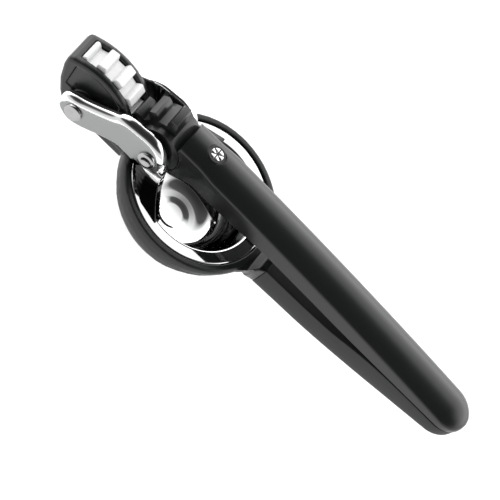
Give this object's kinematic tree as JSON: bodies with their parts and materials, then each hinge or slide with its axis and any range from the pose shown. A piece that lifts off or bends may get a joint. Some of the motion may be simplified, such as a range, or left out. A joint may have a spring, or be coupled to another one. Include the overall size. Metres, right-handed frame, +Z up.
{
  "type": "citrus_press",
  "caption": "Geared two-handle hand press with black ring frame, polished bowl and plunger on chromed arms, white gear segment and long black handles",
  "frame": {"origin": "on the bowl's axis, at the underside of the bowl's flat foot", "axes": "+X along the handles towards their tips, +Y across to the left arm, +Z up out of the bowl"},
  "size_m": [0.2293, 0.074, 0.0613],
  "materials": {
    "frame_plastic": "satin",
    "grip_plastic": "fine texture",
    "gear_plastic": "satin",
    "washer_plastic": "satin",
    "polished_steel": "mirror polish",
    "pin_steel": "turned",
    "bush_bronze": "plain"
  },
  "bodies": {
    "frame": {"lower_frame": "frame_plastic", "lower_grip": "grip_plastic", "strainer_bowl": "polished_steel", "gear_segment": "gear_plastic", "rear_bush": "bush_bronze"},
    "press_arms": {"left_arm": "polished_steel", "right_arm": "polished_steel", "plunger_cup": "polished_steel", "rear_pivot_pin": "pin_steel", "rear_pin_cap": "pin_steel", "front_pivot_pin": "pin_steel", "front_pin_cap": "pin_steel", "rear_washer_left": "washer_plastic", "rear_washer_right": "washer_plastic", "front_washer_left": "washer_plastic", "front_washer_right": "washer_plastic"},
    "upper_handle": {"handle_core": "frame_plastic", "front_bush": "bush_bronze", "upper_shell": "frame_plastic", "upper_liner": "grip_plastic", "badge_disc": "frame_plastic"}
  },
  "joints": [
    {"name": "arm_hinge", "type": "hinge", "parent": "frame", "child": "press_arms", "pos_m": [-0.0618, 0, 0.0326], "axis": [0, -1, 0], "range_deg": [0, 65]},
    {"name": "handle_hinge", "type": "hinge", "parent": "press_arms", "child": "upper_handle", "pos_m": [-0.02707, 0, 0.04415], "axis": [0, -1, 0], "range_deg": [0, 91]}
  ],
  "couplings": [
    {"joint": "handle_hinge", "follows": "arm_hinge", "ratio": 1.4}
  ]
}
